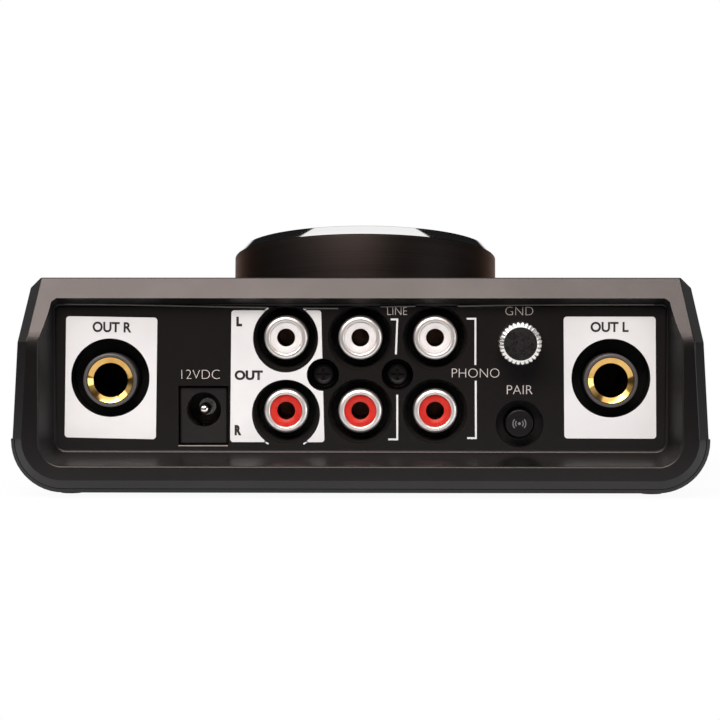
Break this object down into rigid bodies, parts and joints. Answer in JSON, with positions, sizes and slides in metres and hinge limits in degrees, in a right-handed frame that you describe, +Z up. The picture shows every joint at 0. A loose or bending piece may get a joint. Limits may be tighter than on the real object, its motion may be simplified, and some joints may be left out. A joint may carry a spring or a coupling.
{
  "type": "phono preamp",
  "caption": "Wedge-shaped desktop phono preamp: big volume knob and push buttons on a sloping top, with phono, jack, power and ground connections in a recessed rear panel.",
  "frame": {"origin": "on the table plane, under the middle of the case", "axes": "+X to the right of a person at the front, +Y to the rear where the sockets are, +Z up"},
  "size_m": [0.13, 0.13, 0.0508],
  "materials": {
    "case_plastic": "matte, finely grained, charcoal black",
    "panel_plastic": "matte black with white printing",
    "black_plastic": "matte black",
    "rubber": "soft black rubber",
    "black_steel": "black oxide",
    "steel": "zinc plated",
    "knob_metal": "black anodised, brushed side, polished bevel",
    "bright_line": "white infill",
    "nickel": "bright nickel plate",
    "white_plastic": "satin white",
    "red_plastic": "satin red",
    "gold_plate": "gold plated",
    "spring_metal": "bright spring bronze",
    "board": "solder-masked laminate",
    "clear_plastic": "clear",
    "light_body": "small lamp body",
    "can_aluminium": "satin",
    "capacitor_film": "moulded box",
    "grey_ribbon": "flexible insulation"
  },
  "bodies": {
    "chassis": {"top_shell": "case_plastic", "bottom_shell": "case_plastic", "case_screws": "black_steel", "board_screws": "steel", "rubber_feet": "rubber", "rear_panel": "panel_plastic", "panel_screws": "black_steel", "phono_block": "black_plastic", "phono_shells": "nickel", "phono_insulators_left": "white_plastic", "phono_insulators_right": "red_plastic", "phono_contacts": "spring_metal", "left_jack_body": "black_plastic", "left_jack_ferrule": "gold_plate", "left_jack_springs": "spring_metal", "right_jack_body": "black_plastic", "right_jack_ferrule": "gold_plate", "right_jack_springs": "spring_metal", "dc_jack_body": "black_plastic", "dc_jack_pin": "nickel", "dc_jack_spring": "spring_metal", "ground_bracket": "steel", "pair_switch": "black_plastic", "pot_bushing": "steel", "pot_body": "black_plastic", "pot_nut": "steel", "pot_washer": "steel", "top_switches": "black_plastic", "light_pipes": "clear_plastic", "lights": "light_body", "control_board": "board", "main_board": "board", "electrolytic_capacitors": "can_aluminium", "film_capacitors": "capacitor_film", "relays": "black_plastic", "amplifier_chips": "black_plastic", "regulator": "black_plastic", "heat_sink": "can_aluminium", "wireless_board": "board", "wireless_shield": "steel", "ribbon_plugs": "black_plastic", "ribbon_cable": "grey_ribbon"},
    "volume_knob": {"knob_shell": "knob_metal", "knob_pointer": "bright_line", "knob_hub": "black_plastic", "knob_set_screw": "black_steel", "pot_shaft": "steel", "pot_wiper": "black_plastic"},
    "pair_button": {"pair_button": "black_plastic", "pair_plunger": "black_plastic"},
    "phono_button": {"phono_button": "black_plastic", "phono_plunger": "black_plastic"},
    "line_button": {"line_button": "black_plastic", "line_plunger": "black_plastic"},
    "wireless_button": {"wireless_button": "black_plastic", "wireless_plunger": "black_plastic"},
    "power_button": {"power_button": "black_plastic", "power_plunger": "black_plastic"},
    "ground_washer": {"ground_washer": "nickel"},
    "ground_screw": {"ground_screw": "nickel"}
  },
  "joints": [
    {"name": "volume_turn", "type": "hinge", "parent": "chassis", "child": "volume_knob", "pos_m": [0, -0.00096, 0.03408], "axis": [0, -0.1925, 0.9813], "range_deg": [-150, 150]},
    {"name": "pair_press", "type": "slide", "parent": "chassis", "child": "pair_button", "axis": [0, -1, 0], "range_m": [0, 0.0005], "stiffness_N_per_m": 1500},
    {"name": "phono_press", "type": "slide", "parent": "chassis", "child": "phono_button", "axis": [0, 0.1925, -0.9813], "range_m": [0, 0.0005], "stiffness_N_per_m": 1500},
    {"name": "line_press", "type": "slide", "parent": "chassis", "child": "line_button", "axis": [0, 0.1925, -0.9813], "range_m": [0, 0.0005], "stiffness_N_per_m": 1500},
    {"name": "wireless_press", "type": "slide", "parent": "chassis", "child": "wireless_button", "axis": [0, 0.1925, -0.9813], "range_m": [0, 0.0005], "stiffness_N_per_m": 1500},
    {"name": "power_press", "type": "slide", "parent": "chassis", "child": "power_button", "axis": [0, 0.1925, -0.9813], "range_m": [0, 0.0005], "stiffness_N_per_m": 1500},
    {"name": "ground_washer_shift", "type": "slide", "parent": "chassis", "child": "ground_washer", "axis": [0, 1, 0], "range_m": [0, 0.0021]},
    {"name": "ground_screw_turn", "type": "hinge", "parent": "ground_washer", "child": "ground_screw", "pos_m": [-0.0297, 0.0595, 0.0288], "axis": [0, 1, 0], "range_deg": [0, 1080]}
  ],
  "couplings": [
    {"joint": "ground_screw_turn", "follows": "ground_washer_shift", "rad_per_m": 8976}
  ]
}
